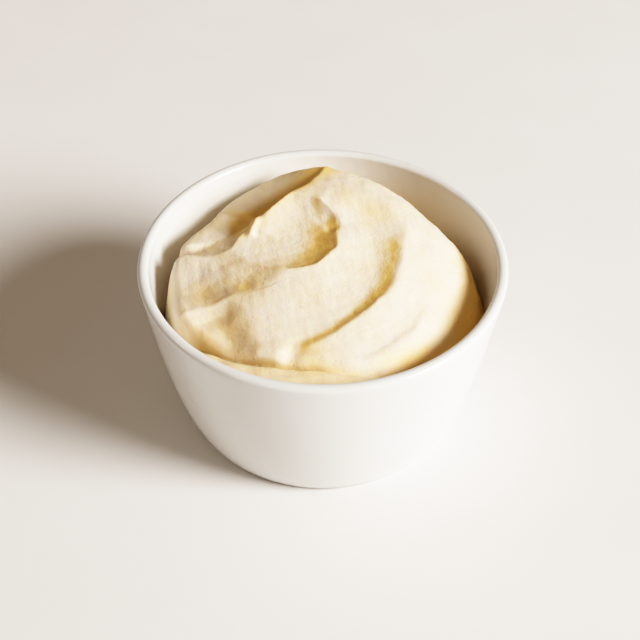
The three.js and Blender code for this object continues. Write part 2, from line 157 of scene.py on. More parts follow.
# Ridges, or grooves where the height is negative. Widths to the left and right of the way; fades at its start
# and end, as shares of its length.
RIDGE_TAPER = 1.4  # sharpness of a ridge's bell shape
BACK_LOBE = dict(
    height=0.6, widths=(6, 4), fades=(0.4, 0.25),
    points=[(-36, 21), (-31, 28), (-27, 31), (-22, 35), (-14.5, 38.5), (-7, 41)],
)
RIDGES = [
    dict(  # above the left trough
        height=1, widths=(3, 4.5), fades=(0.1, 0.4),
        points=[(-50, 2.2), (-43.5, 2.4), (-38, -2), (-34.7, -6.5), (-28, -9.6)],
    ),
    dict(  # the thin flap at the front left
        height=0.6, widths=(1.8, 1.5), fades=(0.05, 0.3),
        points=[
            (-52, -24.4), (-47.8, -23.4), (-43.5, -22.2), (-40, -20.8), (-34, -19.4), (-29.4, -18.5),
            (-24.5, -17.8),
        ],
    ),
    dict(  # the groove under it
        height=-0.7, widths=(2.6, 3.4), fades=(0.3, 0.4),
        points=[(-43, -27.5), (-38, -26), (-32, -24.5), (-25, -24)],
    ),
    dict(  # the groove beside the drip at the front
        height=-0.8, widths=(3, 7), fades=(0.15, 0.5),
        points=[(-11.4, -48), (-10.4, -43), (-9, -40), (-5.5, -37.4), (0.5, -35)],
    ),
    dict(  # the edge of the hook
        height=1.5, widths=(1.2, 1.8), fades=(0.4, 0.15),
        points=[(-20.5, 17.5), (-22, 14.5), (-23, 11.5), (-23.2, 8.4)],
    ),
    dict(  # the groove along the curl
        height=-0.8, widths=(1.6, 3.4), fades=(0.35, 0.3),
        points=[(1, 18.5), (3, 15), (4, 11), (3.2, 6.5)],
    ),
    dict(  # the crest between the valley and the hollow
        height=1.4, widths=(6, 2.6), fades=(0.9, 0.08),
        points=[(-5, 30.3), (-10, 26.3), (-14.5, 22.3), (-18, 18), (-20.5, 13.7), (-22, 9.3)],
    ),
]

# Soft bumps and dents: x, y, height, radius along X, radius along Y.
BUMPS = [
    (38, -6, -3.8, 13, 30), (20, -30, -1.2, 14, 12), (28, 24, -0.3, 12, 12), (-26, -13.8, -1.8, 2.8, 2.4),
    (-17.5, -40.5, 1.2, 3.5, 5), (-9, -41, -1, 3.5, 4), (-46.5, -27, -5, 2.6, 2.4), (-26, 19, -2.2, 3, 4),
    (-33, -35, -1, 12, 6), (-34, 33, -3, 16, 14), (-13, 46, 2.2, 11, 7), (2, 44, 1.4, 9, 8),
]

# The mound's outline. Rows: angle, radius, level of the mash around the mound, rounding of the mound's edge.
OUTLINE = [
    (0, 50, -19, 16), (20, 47, -24, 12), (35, 42.7, -24, 8), (50, 41.2, -22, 6), (65, 41.2, -20, 5),
    (85, 42.4, -18, 4), (97, 45.5, -18, 4), (108, 49.8, -18, 4), (125, 50, -20, 4), (140, 47.6, -22, 4),
    (153, 46.6, -22, 3.5), (163, 47.2, -22, 2.5), (168, 47.2, -22, 2.5), (172, 44.8, -22, 2.2),
    (176, 47.8, -22, 2.4), (180, 49, -22, 3), (190, 49.7, -22, 3.6), (200, 50.4, -20, 3.2),
    (206, 50.6, -16.5, 2.4), (211, 50.2, -13, 2.2), (216, 49.5, -10.2, 2), (222, 48.7, -8, 2),
    (233, 48.3, -5.8, 2.2), (246, 46.6, -4.4, 2.5), (260, 45.4, -3.7, 2.5), (273, 45.9, -3.5, 2.5),
    (283, 48.4, -4.4, 3.5), (297, 50.8, -7, 6), (310, 51.3, -8.5, 9), (325, 51.8, -10, 14),
    (342, 50.8, -14, 17),
]
EDGE_DROP = 0.6  # drop of the mound at its outline, as a share of the rounding there
SIDE_DROP = 4.5  # steepness of its side past the outline, times the rounding
LEAST_SIDE_DROP = 0.7
MEETING = dict(blend=0.5, per_depth=0.3, near_layer=5)  # how softly the side meets the mash around it
CREASE = dict(depth=1.1, past=0.6, width=1.0)  # a groove round the mound's foot
LAYER_WAVES = dict(height=0.1, per_depth=0.03)  # unevenness of the mash around the mound

# ---- Painted shade on the mash
# Painted shade: a golden tint stands in for shade and for light coming through the mash, and is put into its
# colour. Each rule gives a share; a pair of numbers runs from none of it to all of it.
SHADE_STEP = 0.5  # grid on which the painted shade is worked out
SHADE_SOFTNESS = 0.5
IN_HOLLOWS = dict(size=3.0, depth=(0, 2.2), lost_outside=0.6, outside=(-1, 1))
# Painted shade on walls that rise towards the key light and so face away from it; the first pair gives that
# way.
ON_WALLS = dict(
    size=1, towards_key_light=(0.9, -0.44), slope=(0.0, 0.27), lost_at_back=0.4, at_back=(28, 36),
    left_share=0.4, past_left=(-50, -36), right_share=0.6, past_middle=(-18, -2),
)
ALONG_VALLEY = dict(width=6.5, start=(0.25, 0.5))
IN_GAP = dict(height=(-4, -11), least=0.25, more_at_right=0.75, at_right=(-30, 20))
AT_EDGE = dict(share=0.8, past=(-7.5, -2), at_right=(12, 28), at_front=(14, -8))
ON_LAYER = dict(share=0.35, past=(0, 2))
NEAR_BRIM = (-12, -8)  # levels between which the mash around the mound comes to count as near the brim

# Spots with more of the painted golden shade, or less where the strength is negative: x, y, strength, radius.
SHADE_SPOTS = [
    (-27, 21.5, 1.2, 5), (-26, 14, 0.8, 3.5), (-25, -14.5, 0.5, 3), (-38, -13, 0.3, 5),
    (-39, -2, -0.45, 4.5), (-34, -7.5, -0.3, 3.5), (-4, -42, 0.45, 6), (7.5, 24, 0.3, 4),
    (17, 17, 0.35, 5), (22, 4, 0.4, 4), (-33, -31, 0.3, 6),
]

# Painted shade: the dark line at the mound's foot, where the crease lies in shade: distance past the outline,
# width, X over which it starts, strength.
CREASE_SHADE = dict(past=0.9, width=0.65, start=(7, -1), strength=0.85)

STROKE_DRAWN_OUT = 6.0  # length of a spoon streak against its width
STROKE_RADIUS = 30  # distance from the swirl's turning point at which it has that length


# ---- Small maths, on whole arrays

CURVE_STEPS = 8  # samples between two rows of a curve
WAVES_PER_OCTAVE = 5
OCTAVE_RATE = 2.03
OCTAVE_HEIGHT = 0.5
RATE_SPREAD = 0.13  # how far the rates of an octave's waves lie apart
WAVE_HEIGHT = 2.2  # brings a sum of waves to about unit height
DRAW_FACTOR = 16807  # each draw is the last one times this, less whole multiples of the modulus
DRAW_MODULUS = 2147483647


def soft_min(a, b, blend):
    """The lower of a and b, rounded off by a quarter of blend where they meet."""
    near = np.maximum(blend - np.abs(a - b), 0) / blend
    return np.minimum(a, b) - near * near * blend / 4


def smoothstep(t, start, end):
    """0 before start, 1 past end, and 3t²−2t³ of the share between. The end may lie below the start."""
    t = np.clip((t - start) / (end - start), 0, 1)
    return t * t * (3 - 2 * t)


def bell(t):
    """e^(−t²): 1 at 0, and about a third at 1."""
    return np.exp(-(t**2))


def smooth_rows(rows):
    """Catmull-Rom curve through rows of numbers, with CURVE_STEPS samples to a span."""
    p = np.asarray(rows, float)
    p = np.vstack([2 * p[0] - p[1], p, 2 * p[-1] - p[-2]])
    t = np.arange(CURVE_STEPS)[None, :, None] / CURVE_STEPS
    a, b, c, d = (p[i : len(p) - 3 + i, None, :] for i in range(4))
    spans = (2 * b + (c - a) * t + (2 * a - 5 * b + 4 * c - d) * t**2 + (3 * b - a - 3 * c + d) * t**3) / 2
    return np.vstack([spans.reshape(-1, p.shape[1]), p[-2]])


def nearest(line, x, y):
    """For every (x, y): the signed distance to the line of rows, positive on the right of the way, the rows'
    other values at the nearest point, and that point's share of the line's length."""
    lengths = np.hypot(*np.diff(line[:, :2], axis=0).T)
    starts = np.concatenate([[0], np.cumsum(lengths)])
    best = np.full(x.shape, np.inf)
    distance, gone = np.zeros(x.shape), np.zeros(x.shape)
    values = np.zeros((line.shape[1] - 2,) + x.shape)
    for a, b, length, start in zip(line[:-1], line[1:], lengths, starts):
        ux, uy = (b[:2] - a[:2]) / length
        px, py = x - a[0], y - a[1]
        along = np.clip(px * ux + py * uy, 0, length)
        away = np.hypot(px - along * ux, py - along * uy)
        near = away < best
        best[near] = away[near]
        distance[near] = np.where(px * uy - py * ux >= 0, away, -away)[near]
        gone[near] = (start + along)[near]
        for k in range(len(values)):
            values[k][near] = (a[k + 2] + (b[k + 2] - a[k + 2]) * along / length)[near]
    return distance, values, gone / starts[-1]


def round_table(rows, degrees):
    """Cubic curve round the full circle through rows that start with an angle; returns the other values."""
    table = np.asarray(rows, float)
    angles, values, count = table[:, 0], table[:, 1:], len(rows)
    angle = np.mod(degrees, 360)
    i = np.searchsorted(angles, angle, side="right") - 1

    def at(k):
        return angles[k % count] + 360 * (k // count)

    span = at(i + 1) - at(i)
    t = (angle - at(i)) / span
    out = []
    for column in values.T:
        p, q, r, s = (column[(i + k) % count] for k in (-1, 0, 1, 2))
        start = (r - p) / (at(i + 1) - at(i - 1)) * span
        end = (s - q) / (at(i + 2) - at(i)) * span
        between = q * (1 + 2 * t) * (1 - t) ** 2 + r * t * t * (3 - 2 * t)
        out.append(between + start * t * (1 - t) ** 2 - end * t * t * (1 - t))
    return out


def make_waves(size, seed, octaves):
    """Seeded unevenness of about unit height: a sum of sine waves in drawn directions, each octave half as
    high and about half as long."""
    waves, state = [], seed

    def draw():
        nonlocal state
        state = state * DRAW_FACTOR % DRAW_MODULUS
        return state / DRAW_MODULUS * 2 * math.pi

    for octave in range(octaves):
        for j in range(WAVES_PER_OCTAVE):
            turn, phase = draw(), draw()
            rate = 2 * math.pi / size * OCTAVE_RATE**octave * (1 + RATE_SPREAD * j)
            waves.append((rate * math.cos(turn), rate * math.sin(turn), phase, OCTAVE_HEIGHT**octave))
    total = sum(wave[3] for wave in waves)

    def uneven(x, y):
        heights = (height * np.sin(wx * x + wy * y + phase) for wx, wy, phase, height in waves)
        return sum(heights) / total * WAVE_HEIGHT

    return uneven


# ---- The shaping tools: each takes the heights z at (x, y) and returns the changed heights


def carve_swirl(z, tool, x, y):
    """Cuts down to a dish turned about one point: level + rise·(inward share)^power inside its lowest line,
    and a wall of wall·(outward share)^wall_power outside it."""
    dx, dy = x - tool["x"], y - tool["y"]
    radius = np.hypot(dx, dy)
    lowest, level, rise, width = round_table(tool["rows"], np.degrees(np.arctan2(dy, dx)))
    inner = rise * (np.maximum(lowest - radius, 0) / lowest) ** tool["power"]
    outer = tool["wall"] * (np.maximum(radius - lowest, 0) / width) ** tool["wall_power"]
    return soft_min(z, level + inner + outer, tool["blend"])


def carve_hollow(z, tool, x, y):
    """Cuts down to an egg-shaped dish: level + tilt along it + rise·(share of the reach)^power."""
    turn = math.radians(tool["turn"])
    dx, dy = x - tool["x"], y - tool["y"]
    u = dx * math.cos(turn) + dy * math.sin(turn)
    v = dy * math.cos(turn) - dx * math.sin(turn)
    right = tool["right"] + tool["narrowing"] * np.minimum(u, 0)
    reach_u = np.where(u > 0, tool["ahead"], tool["behind"])
    reach_v = np.where(v > 0, tool["left"], right)
    share = np.hypot(u / reach_u, v / reach_v)
    dish = tool["level"] + tool["tilt"] * u + tool["rise"] * share ** tool["power"]
    return soft_min(z, dish, tool["blend"])


def carve_stroke(z, tool, x, y):
    """Cuts down to a trough along a line: level + rise·(distance/width)^power, each side with its own."""
    distance, (level, left_width, right_width), _ = nearest(tool["line"], x, y)
    left = tool["left"][0] * (np.abs(distance) / left_width) ** tool["left"][1]
    right = tool["right"][0] * (np.abs(distance) / right_width) ** tool["right"][1]
    return soft_min(z, level + np.where(distance < 0, left, right), tool["blend"])


def add_fold(z, tool, x, y):
    """Lowers the left of a line and lifts its right, each dying away as a bell, joined by a smooth step."""
    distance, (drop, lift), _ = nearest(tool["line"], x, y)
    edge = tool["edge"]
    left = -drop * bell(np.minimum(distance + edge, 0) / tool["left_width"])
    right = lift * bell(np.maximum(distance - edge, 0) / tool["right_width"])
    return z + left + (right - left) * smoothstep(distance, -edge, edge)


def add_ridge(z, tool, x, y):
    """Adds a bell-shaped ridge along a line, faded at both ends."""
    distance, _, share = nearest(tool["line"], x, y)
    width = np.where(distance < 0, *tool["widths"])
    strength = smoothstep(share, 0, tool["fades"][0]) * smoothstep(1 - share, 0, tool["fades"][1])
    return z + tool["height"] * strength * np.exp(-RIDGE_TAPER * (distance / width) ** 2)


for _tool in (VALLEY, LEFT_TROUGH, *FOLDS):
    _tool["line"] = smooth_rows(_tool["rows"])
for _tool in (BACK_LOBE, *RIDGES):
    _tool["line"] = smooth_rows(_tool["points"])

drift_x = make_waves(size=22, seed=11, octaves=3)
drift_y = make_waves(size=22, seed=23, octaves=3)
swell = make_waves(size=30, seed=5, octaves=3)
outline_waves = make_waves(size=9, seed=31, octaves=2)
layer_waves = make_waves(size=14, seed=41, octaves=2)
ripple = make_waves(size=7, seed=77, octaves=3)


def mound_top(x, y):
    """The spooned top of the mound, before its edge turns down."""
    sx = x + DRIFT * drift_x(x, y)
    sy = y + DRIFT * drift_y(x, y)
    z = DOME["top"] - DOME["fall"] * ((x - DOME["x"]) ** 2 + (y - DOME["y"]) ** 2) + SWELL * swell(x, y)
    for bx, by, height, rx, ry in BUMPS:
        z = z + height * np.exp(-(((sx - bx) / rx) ** 2) - ((sy - by) / ry) ** 2)
    z = add_ridge(z, BACK_LOBE, sx, sy)
    z = carve_swirl(z, SWIRL, sx, sy)
    z = carve_stroke(z, VALLEY, sx, sy)
    z = carve_hollow(z, HOLLOW, sx, sy)
    z = carve_stroke(z, LEFT_TROUGH, sx, sy)
    for fold in FOLDS:
        z = add_fold(z, fold, sx, sy)
    for ridge in RIDGES:
        z = add_ridge(z, ridge, sx, sy)
    return z + RIPPLE * ripple(x, y)


def outline_at(x, y):
    """How far (x, y) lies past the mound's outline, with the level and rounding there."""
    radius, layer, rounding = round_table(OUTLINE, np.degrees(np.arctan2(y, x)))
    return np.hypot(x, y) - radius - OUTLINE_WANDER * outline_waves(x, y), layer, rounding


def mash_height(x, y):
    """The mash's top surface: the mound, rounded down at its outline to the lower layer around it.
    It meets a near layer in a crease, and a deep one in a wide slope."""
    past, layer, rounding = outline_at(x, y)
    share = np.maximum((past + rounding) / rounding, 0)
    side = np.maximum(SIDE_DROP / rounding, LEAST_SIDE_DROP) * np.maximum(past, 0) ** 2
    drop = EDGE_DROP * rounding * share**2 + side
    blend = MEETING["blend"] + MEETING["per_depth"] * np.maximum(-layer - MEETING["near_layer"], 0)
    crease = CREASE["depth"] * bell((past - CREASE["past"]) / CREASE["width"])
    waves = (LAYER_WAVES["height"] - LAYER_WAVES["per_depth"] * layer) * layer_waves(x, y)
    low = layer - crease + waves
    return -soft_min(drop - mound_top(x, y), -low, blend)


# ---- Bowl wall


def outer_radius(z):
    """The outer wall: straight above STRAIGHT_FROM, and below it a quadratic curve from the foot."""
    z = np.asarray(z, float)

    def rim_line(height):
        return RIM_RADIUS - WALL_SLOPE * (HEIGHT - LIP - height)

    bend = STRAIGHT_FROM - 2 * CURVE_CONTROL
    t = (np.sqrt(CURVE_CONTROL**2 + bend * np.maximum(z, 0)) - CURVE_CONTROL) / bend
    middle, top = rim_line(CURVE_CONTROL), rim_line(STRAIGHT_FROM)
    low = FOOT_RADIUS * (1 - t) ** 2 + 2 * t * (1 - t) * middle + t * t * top
    return np.where(z > STRAIGHT_FROM, rim_line(z), low)


def inner_radius(z):
    """The inner wall: the outer one less the wall's thickness, rounded down to the floor."""
    z = np.asarray(z, float)
    wall = outer_radius(np.maximum(z, FLOOR + CORNER)) - WALL
    under = np.clip((FLOOR + CORNER - z) / CORNER, 0, 1)
    return wall - CORNER * (1 - np.sqrt(1 - under * under))


# ---- Meshes


def new_piece(name, points, faces, node):
    """A smooth-shaded mesh of points in millimetres that stands for a node of the frame."""
    mesh = bpy.data.meshes.new(name)
    mesh.from_pydata(points * MM, [], faces)
    mesh.shade_smooth()
    piece = bpy.data.objects.new(name, mesh)
    bpy.context.scene.collection.objects.link(piece)
    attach(piece, "root")
    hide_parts(node)
    return piece


def turned_faces(rows, turns):
    """Faces of a surface of rows by turns of points, closed round the turn, with a last point before the
    first row and one after the last row. The first row is the top of an upward-facing surface."""
    i, j = np.meshgrid(np.arange(rows - 1), np.arange(turns), indexing="ij")
    here, across = i * turns + j, i * turns + (j + 1) % turns
    quads = np.stack([here, here + turns, across + turns, across], -1).reshape(-1, 4)
    j = np.arange(turns)
    first, last = rows * turns, rows * turns + 1
    end = (rows - 1) * turns
    start_fan = np.stack([np.full(turns, first), j, (j + 1) % turns], -1)
    end_fan = np.stack([end + j, np.full(turns, last), end + (j + 1) % turns], -1)
    return quads.tolist() + start_fan.tolist() + end_fan.tolist()


def bowl_profile():
    """Radius and height along the bowl's section: across the floor, up the inside, over the lip, down the
    outside, round the foot and into the recess."""
    steps = PROFILE_STEPS
    lip = HEIGHT - LIP
    lip_outer, lip_inner = outer_radius(lip), inner_radius(lip)
    middle, half = (lip_outer + lip_inner) / 2, (lip_outer - lip_inner) / 2
    floor = np.linspace(MIDDLE_RING, inner_radius(FLOOR) - FLOOR_MARGIN, steps["floor"])
    corner = np.linspace(math.pi / 2, 0, steps["corner"])
    corner_z = FLOOR + CORNER * (1 - np.sin(corner))
    inside = np.linspace(FLOOR + CORNER, lip, steps["inside"])[1:-1]
    over = np.linspace(math.pi, 0, steps["lip"])
    outside = np.linspace(lip, WALL_FROM, steps["outside"])[1:]
    foot = np.linspace(math.pi / 2, 0, steps["foot"])
    ring = np.linspace(RING_INNER, RING_INNER - RECESS, steps["ring"])
    recess = np.linspace(RECESS_RING, MIDDLE_RING, steps["recess"])
    parts = [
        (floor, np.full(steps["floor"], FLOOR)),
        (inner_radius(corner_z), corner_z),
        (inner_radius(inside), inside),
        (middle + half * np.cos(over), lip + LIP * np.sin(over)),
        (outer_radius(outside), outside),
        (FOOT_RADIUS - FOOT_ROUNDING + FOOT_ROUNDING * np.sin(foot), FOOT_ROUNDING * (1 - np.cos(foot))),
        (ring, np.linspace(0, RECESS, steps["ring"])),
        (recess, np.full(steps["recess"], RECESS)),
    ]
    return np.hstack([np.vstack(part) for part in parts])


def make_bowl():
    """The bowl's profile turned about the Z axis."""
    radius, height = bowl_profile()
    turn = np.linspace(0, 2 * math.pi, BOWL_TURNS, endpoint=False)
    x, y = np.outer(radius, np.cos(turn)), np.outer(radius, np.sin(turn))
    z = np.outer(height, np.ones(BOWL_TURNS))
    points = np.stack([x, y, z], -1).reshape(-1, 3)
    points = np.vstack([points, (0, 0, FLOOR), (0, 0, RECESS)])
    return new_piece("bowl_glazed", points, turned_faces(len(radius), BOWL_TURNS), "bowl")


HALVINGS = 24  # each halves the stretch in which the mash may meet the wall


def wall_contact(cos, sin):
    """The radius at which the mash's top reaches the wall, in each direction, by halving the stretch."""
    inside, outside = np.full(cos.shape, FOOT_RADIUS / 2), np.full(cos.shape, RIM_RADIUS)
    for _ in range(HALVINGS):
        radius = (inside + outside) / 2
        clear = radius < inner_radius(BRIM + mash_height(radius * cos, radius * sin)) - TOUCH
        inside, outside = np.where(clear, radius, inside), np.where(clear, outside, radius)
    return inside


def shade_in_hollows(height, past, blur):
    """Painted shade in hollows: by how far a hollow lies below the blurred height, and less past the mound's
    outline.
    """
    rule = IN_HOLLOWS
    hollow = smoothstep(blur(height, rule["size"]) - height, *rule["depth"])
    return hollow * (1 - rule["lost_outside"] * smoothstep(past, *rule["outside"]))


def shade_on_walls_away_from_light(height, x, y, blur):
    """Painted shade on walls that face away from the key light: by how steeply a wall rises towards the
    light, and less at the back and towards the left.
    """
    rule = ON_WALLS
    slope_x, slope_y = np.gradient(blur(height, rule["size"]), SHADE_STEP)
    slope = rule["towards_key_light"][0] * slope_x + rule["towards_key_light"][1] * slope_y
    wall = smoothstep(slope, *rule["slope"]) * (1 - rule["lost_at_back"] * smoothstep(y, *rule["at_back"]))
    left = rule["left_share"] * smoothstep(x, *rule["past_left"])
    return wall * (left + rule["right_share"] * smoothstep(x, *rule["past_middle"]))


def shade_along_valley(x, y):
    """Painted shade where the crest's shadow falls along the valley: a bell over the distance to the valley's
    line, from the middle of its length on.
    """
    distance, _, share = nearest(VALLEY["line"], x, y)
    return bell(distance / ALONG_VALLEY["width"]) * smoothstep(share, *ALONG_VALLEY["start"])


def shade_in_gap(height, x):
    """Painted shade in the gap between the mound and the bowl: by the gap's depth, and more towards the
    right.
    """
    rule = IN_GAP
    share = rule["least"] + rule["more_at_right"] * smoothstep(x, *rule["at_right"])
    return smoothstep(height, *rule["height"]) * share


def shade_at_edge(past, x, y):
    """Painted shade at the mound's edge at the front right, where the bowl's rim shades it, from a little
    inside its outline on.
    """
    rule = AT_EDGE
    edge = rule["share"] * smoothstep(past, *rule["past"])
    return edge * smoothstep(x, *rule["at_right"]) * smoothstep(y, *rule["at_front"])


def shade_on_layer(past, layer):
    """Painted shade on the strip of the lower layer that shows in front of the mound."""
    return ON_LAYER["share"] * smoothstep(past, *ON_LAYER["past"]) * smoothstep(layer, *NEAR_BRIM)


def read_grid(values, start, x, y):
    """The values at (x, y) of a square grid spaced by SHADE_STEP, blended between the four points round
    it."""
    place_x, place_y = (x - start) / SHADE_STEP, (y - start) / SHADE_STEP
    i, j = np.floor(place_x).astype(int), np.floor(place_y).astype(int)
    u, v = place_x - i, place_y - j
    near = values[i, j] * (1 - u) * (1 - v) + values[i + 1, j] * u * (1 - v)
    far = values[i, j + 1] * (1 - u) * v + values[i + 1, j + 1] * u * v
    return near + far


def painted_shade_share(x, y):
    """From 0 to 1, how much painted golden shade (x, y) gets, standing in for shade and for light coming
    through the mash: the highest share that a rule gives, with the spots added, slightly blurred."""
    side = np.arange(-RIM_RADIUS, RIM_RADIUS, SHADE_STEP)
    grid_x, grid_y = np.meshgrid(side, side, indexing="ij")
    height = mash_height(grid_x, grid_y)
    past, layer, _ = outline_at(grid_x, grid_y)
    rate = np.fft.fftfreq(len(side), SHADE_STEP)
    rate = rate[:, None] ** 2 + rate[None, :] ** 2

    def blur(values, size):
        return np.fft.ifft2(np.fft.fft2(values) * np.exp(-2 * (math.pi * size) ** 2 * rate)).real

    shares = [
        shade_in_hollows(height, past, blur),
        shade_on_walls_away_from_light(height, grid_x, grid_y, blur),
        shade_along_valley(grid_x, grid_y),
        shade_in_gap(height, grid_x),
        shade_at_edge(past, grid_x, grid_y),
        shade_on_layer(past, layer),
    ]
    golden_shade = np.maximum.reduce(shares)
    for spot_x, spot_y, strength, size in SHADE_SPOTS:
        golden_shade = golden_shade + strength * np.exp(-((grid_x - spot_x) ** 2 + (grid_y - spot_y) ** 2) / size**2)
    golden_shade = blur(np.clip(golden_shade, 0, 1), SHADE_SOFTNESS)
    return np.clip(read_grid(golden_shade, side[0], x, y), 0, 1)


def crease_shade_share(x, y):
    """From 0 to 1, how much painted dark shade (x, y) gets along the line between the mound and the layer at
    its foot, where that layer is near the brim: a bell over the distance past the outline."""
    past, layer, _ = outline_at(x, y)
    line = bell((past - CREASE_SHADE["past"]) / CREASE_SHADE["width"])
    return line * smoothstep(layer, *NEAR_BRIM) * smoothstep(x, *CREASE_SHADE["start"])


def stroke_place(points):
    """Coordinates in metres that run across the spoon's swirl and, drawn out, along it."""
    dx, dy = points[:, 0] - SWIRL["x"], points[:, 1] - SWIRL["y"]
    radius, angle = np.hypot(dx, dy), np.arctan2(dy, dx)
    along = STROKE_RADIUS / STROKE_DRAWN_OUT
    return np.stack([radius, along * np.cos(angle), along * np.sin(angle)], -1) * MM


def set_attribute(piece, name, kind, field, values):
    """Gives every point of the piece's mesh a value."""
    attribute = piece.data.attributes.new(name, kind, "POINT")
    attribute.data.foreach_set(field, np.ascontiguousarray(values, np.float32).ravel())


def make_mash():
    """Rings of points from the middle of the mash out to the wall, closer past the mound's edge, then down
    the wall to the floor."""
    turn = np.linspace(0, 2 * math.pi, MASH_TURNS, endpoint=False)
    cos, sin = np.cos(turn), np.sin(turn)
    reach = wall_contact(cos, sin)
    past, _, rounding = outline_at(reach * cos, reach * sin)
    edge = reach - np.maximum(past + rounding / 2, LEAST_EDGE)
    inner = np.outer(np.arange(1, TOP_STEPS + 1) / TOP_STEPS, edge)
    outer = edge + np.outer(np.arange(1, EDGE_STEPS + 1) / EDGE_STEPS, reach - edge)
    radius = np.vstack([inner, outer])
    x, y = radius * cos, radius * sin
    z = BRIM + mash_height(x, y)
    bottom = FLOOR + TOUCH
    down = np.arange(1, SIDE_STEPS + 1)[:, None] / SIDE_STEPS
    side_z = z[-1] + (bottom + SIDE_END - z[-1]) * down
    side_radius = inner_radius(side_z) - TOUCH
    top = np.stack([x, y, z], -1)
    side = np.stack([side_radius * cos, side_radius * sin, side_z], -1)
    middle = BRIM + mash_height(np.zeros(1), np.zeros(1))[0]
    points = np.vstack([np.concatenate([top, side]).reshape(-1, 3), (0, 0, middle), (0, 0, bottom)])
    rows = TOP_STEPS + EDGE_STEPS + SIDE_STEPS
    piece = new_piece("mash_swirl", points, turned_faces(rows, MASH_TURNS), "mashed_potato")
    # Painted shade: the golden tint and the dark line at the mound's foot are given to the points as
    # attributes.
    set_attribute(piece, "golden_shade", "FLOAT", "value", painted_shade_share(points[:, 0], points[:, 1]))
    # Painted shade: the crease attribute darkens the colour along the mound's foot.
    set_attribute(piece, "crease", "FLOAT", "value", crease_shade_share(points[:, 0], points[:, 1]))
    set_attribute(piece, "stroke", "FLOAT_VECTOR", "vector", stroke_place(points))
    return piece


bowl = make_bowl()
mash = make_mash()


# ---- Materials. Object coordinates are in metres, so a scale of 1000 gives detail of about a millimetre.


def add(tree, kind, inputs, **properties):
    """Adds a node; each input, by name or number, takes a value or another node's output."""
    node = tree.nodes.new("ShaderNode" + kind)
    for key, value in properties.items():
        setattr(node, key, value)
    for key, value in inputs.items():
        if isinstance(value, bpy.types.NodeSocket):
            tree.links.new(value, node.inputs[key])
        else:
            node.inputs[key].default_value = value
    return node


# A Mix node has several inputs of one name, for values and for colours, so they go by number.


def mix_colors(tree, factor, first, second):
    """The colour between first, at factor 0, and second, at factor 1."""
    return add(tree, "Mix", {0: factor, 6: first, 7: second}, data_type="RGBA").outputs[2]


def mix_values(tree, factor, first, second):
    """The value between first, at factor 0, and second, at factor 1."""
    return add(tree, "Mix", {0: factor, 2: first, 3: second}).outputs[0]


def multiply(tree, first, second):
    """The product of two values."""
    return add(tree, "Math", {0: first, 1: second}, operation="MULTIPLY").outputs[0]


def map_range(tree, value, start, end, low, high, **properties):
    """A value that goes from low to high as the given one goes from start to end."""
    inputs = {0: value, 1: start, 2: end, 3: low, 4: high}
    return add(tree, "MapRange", inputs, **properties).outputs["Result"]


def add_bump(tree, height, strength, distance, **under):
    """The normal bent by a height, on top of the normal under it where that is given."""
    inputs = {"Height": height, "Strength": strength, "Distance": distance, **under}
    return add(tree, "Bump", inputs).outputs["Normal"]


def new_group(name, inputs, outputs):
    """An empty node group; inputs by name with their defaults, outputs by name."""
    group = bpy.data.node_groups.new(name, "ShaderNodeTree")
    for key, value in inputs.items():
        kind = "NodeSocketFloat" if isinstance(value, (int, float)) else "NodeSocketVector"
        group.interface.new_socket(key, in_out="INPUT", socket_type=kind).default_value = value
    for key in outputs:
        group.interface.new_socket(key, in_out="OUTPUT", socket_type="NodeSocketFloat")
    return group, group.nodes.new("NodeGroupInput").outputs, group.nodes.new("NodeGroupOutput").inputs


def make_unevenness():
    """Soft cloudy patches of a size, as a value from Low to High."""
    inputs = {"Coordinates": (0.0, 0.0, 0.0), "Scale": 50.0, "Low": 0.0, "High": 1.0}
    group, given, wanted = new_group("unevenness", inputs, ["Value"])
    noise = add(group, "TexNoise", {"Vector": given["Coordinates"], "Scale": given["Scale"], "Detail": 3.0})
    spread = map_range(
        group, noise.outputs["Fac"], start=0.3, end=0.7, low=given["Low"], high=given["High"],
        interpolation_type="SMOOTHSTEP",
    )
    group.links.new(spread, wanted["Value"])
    return group


PITS_PER_LUMP = 0.28  # scale of the pits against that of the lumps


def make_grain():
    """Fine lumps with scattered round pits, as a height from 0 to about 1."""
    inputs = {"Coordinates": (0.0, 0.0, 0.0), "Scale": 900.0, "Pits": 0.5}
    group, given, wanted = new_group("grain", inputs, ["Height"])
    place = {"Vector": given["Coordinates"], "Scale": given["Scale"]}
    lumps = add(group, "TexNoise", {**place, "Detail": 2.5, "Roughness": 0.6})
    cells = add(group, "TexVoronoi", {**place, "Scale": multiply(group, given["Scale"], PITS_PER_LUMP)})
    pits = map_range(group, cells.outputs["Distance"], start=0.05, end=0.16, low=1.0, high=0.0)
    deep = multiply(group, pits, given["Pits"])
    height = add(group, "Math", {0: lumps.outputs["Fac"], 1: deep}, operation="SUBTRACT").outputs[0]
    group.links.new(height, wanted["Height"])
    return group


UNEVENNESS = make_unevenness()
GRAIN = make_grain()


def uneven(tree, coordinates, scale, low=0.0, high=1.0):
    """A value in soft patches from low to high."""
    inputs = {"Coordinates": coordinates, "Scale": scale, "Low": low, "High": high}
    return add(tree, "Group", inputs, node_tree=UNEVENNESS).outputs["Value"]


def grain(tree, coordinates, scale, pits):
    """The height of fine lumps, with pits of that depth."""
    inputs = {"Coordinates": coordinates, "Scale": scale, "Pits": pits}
    return add(tree, "Group", inputs, node_tree=GRAIN).outputs["Height"]


def read_attribute(tree, name, output):
    """A value that every point of the piece's mesh has."""
    return add(tree, "Attribute", {}, attribute_name=name).outputs[output]


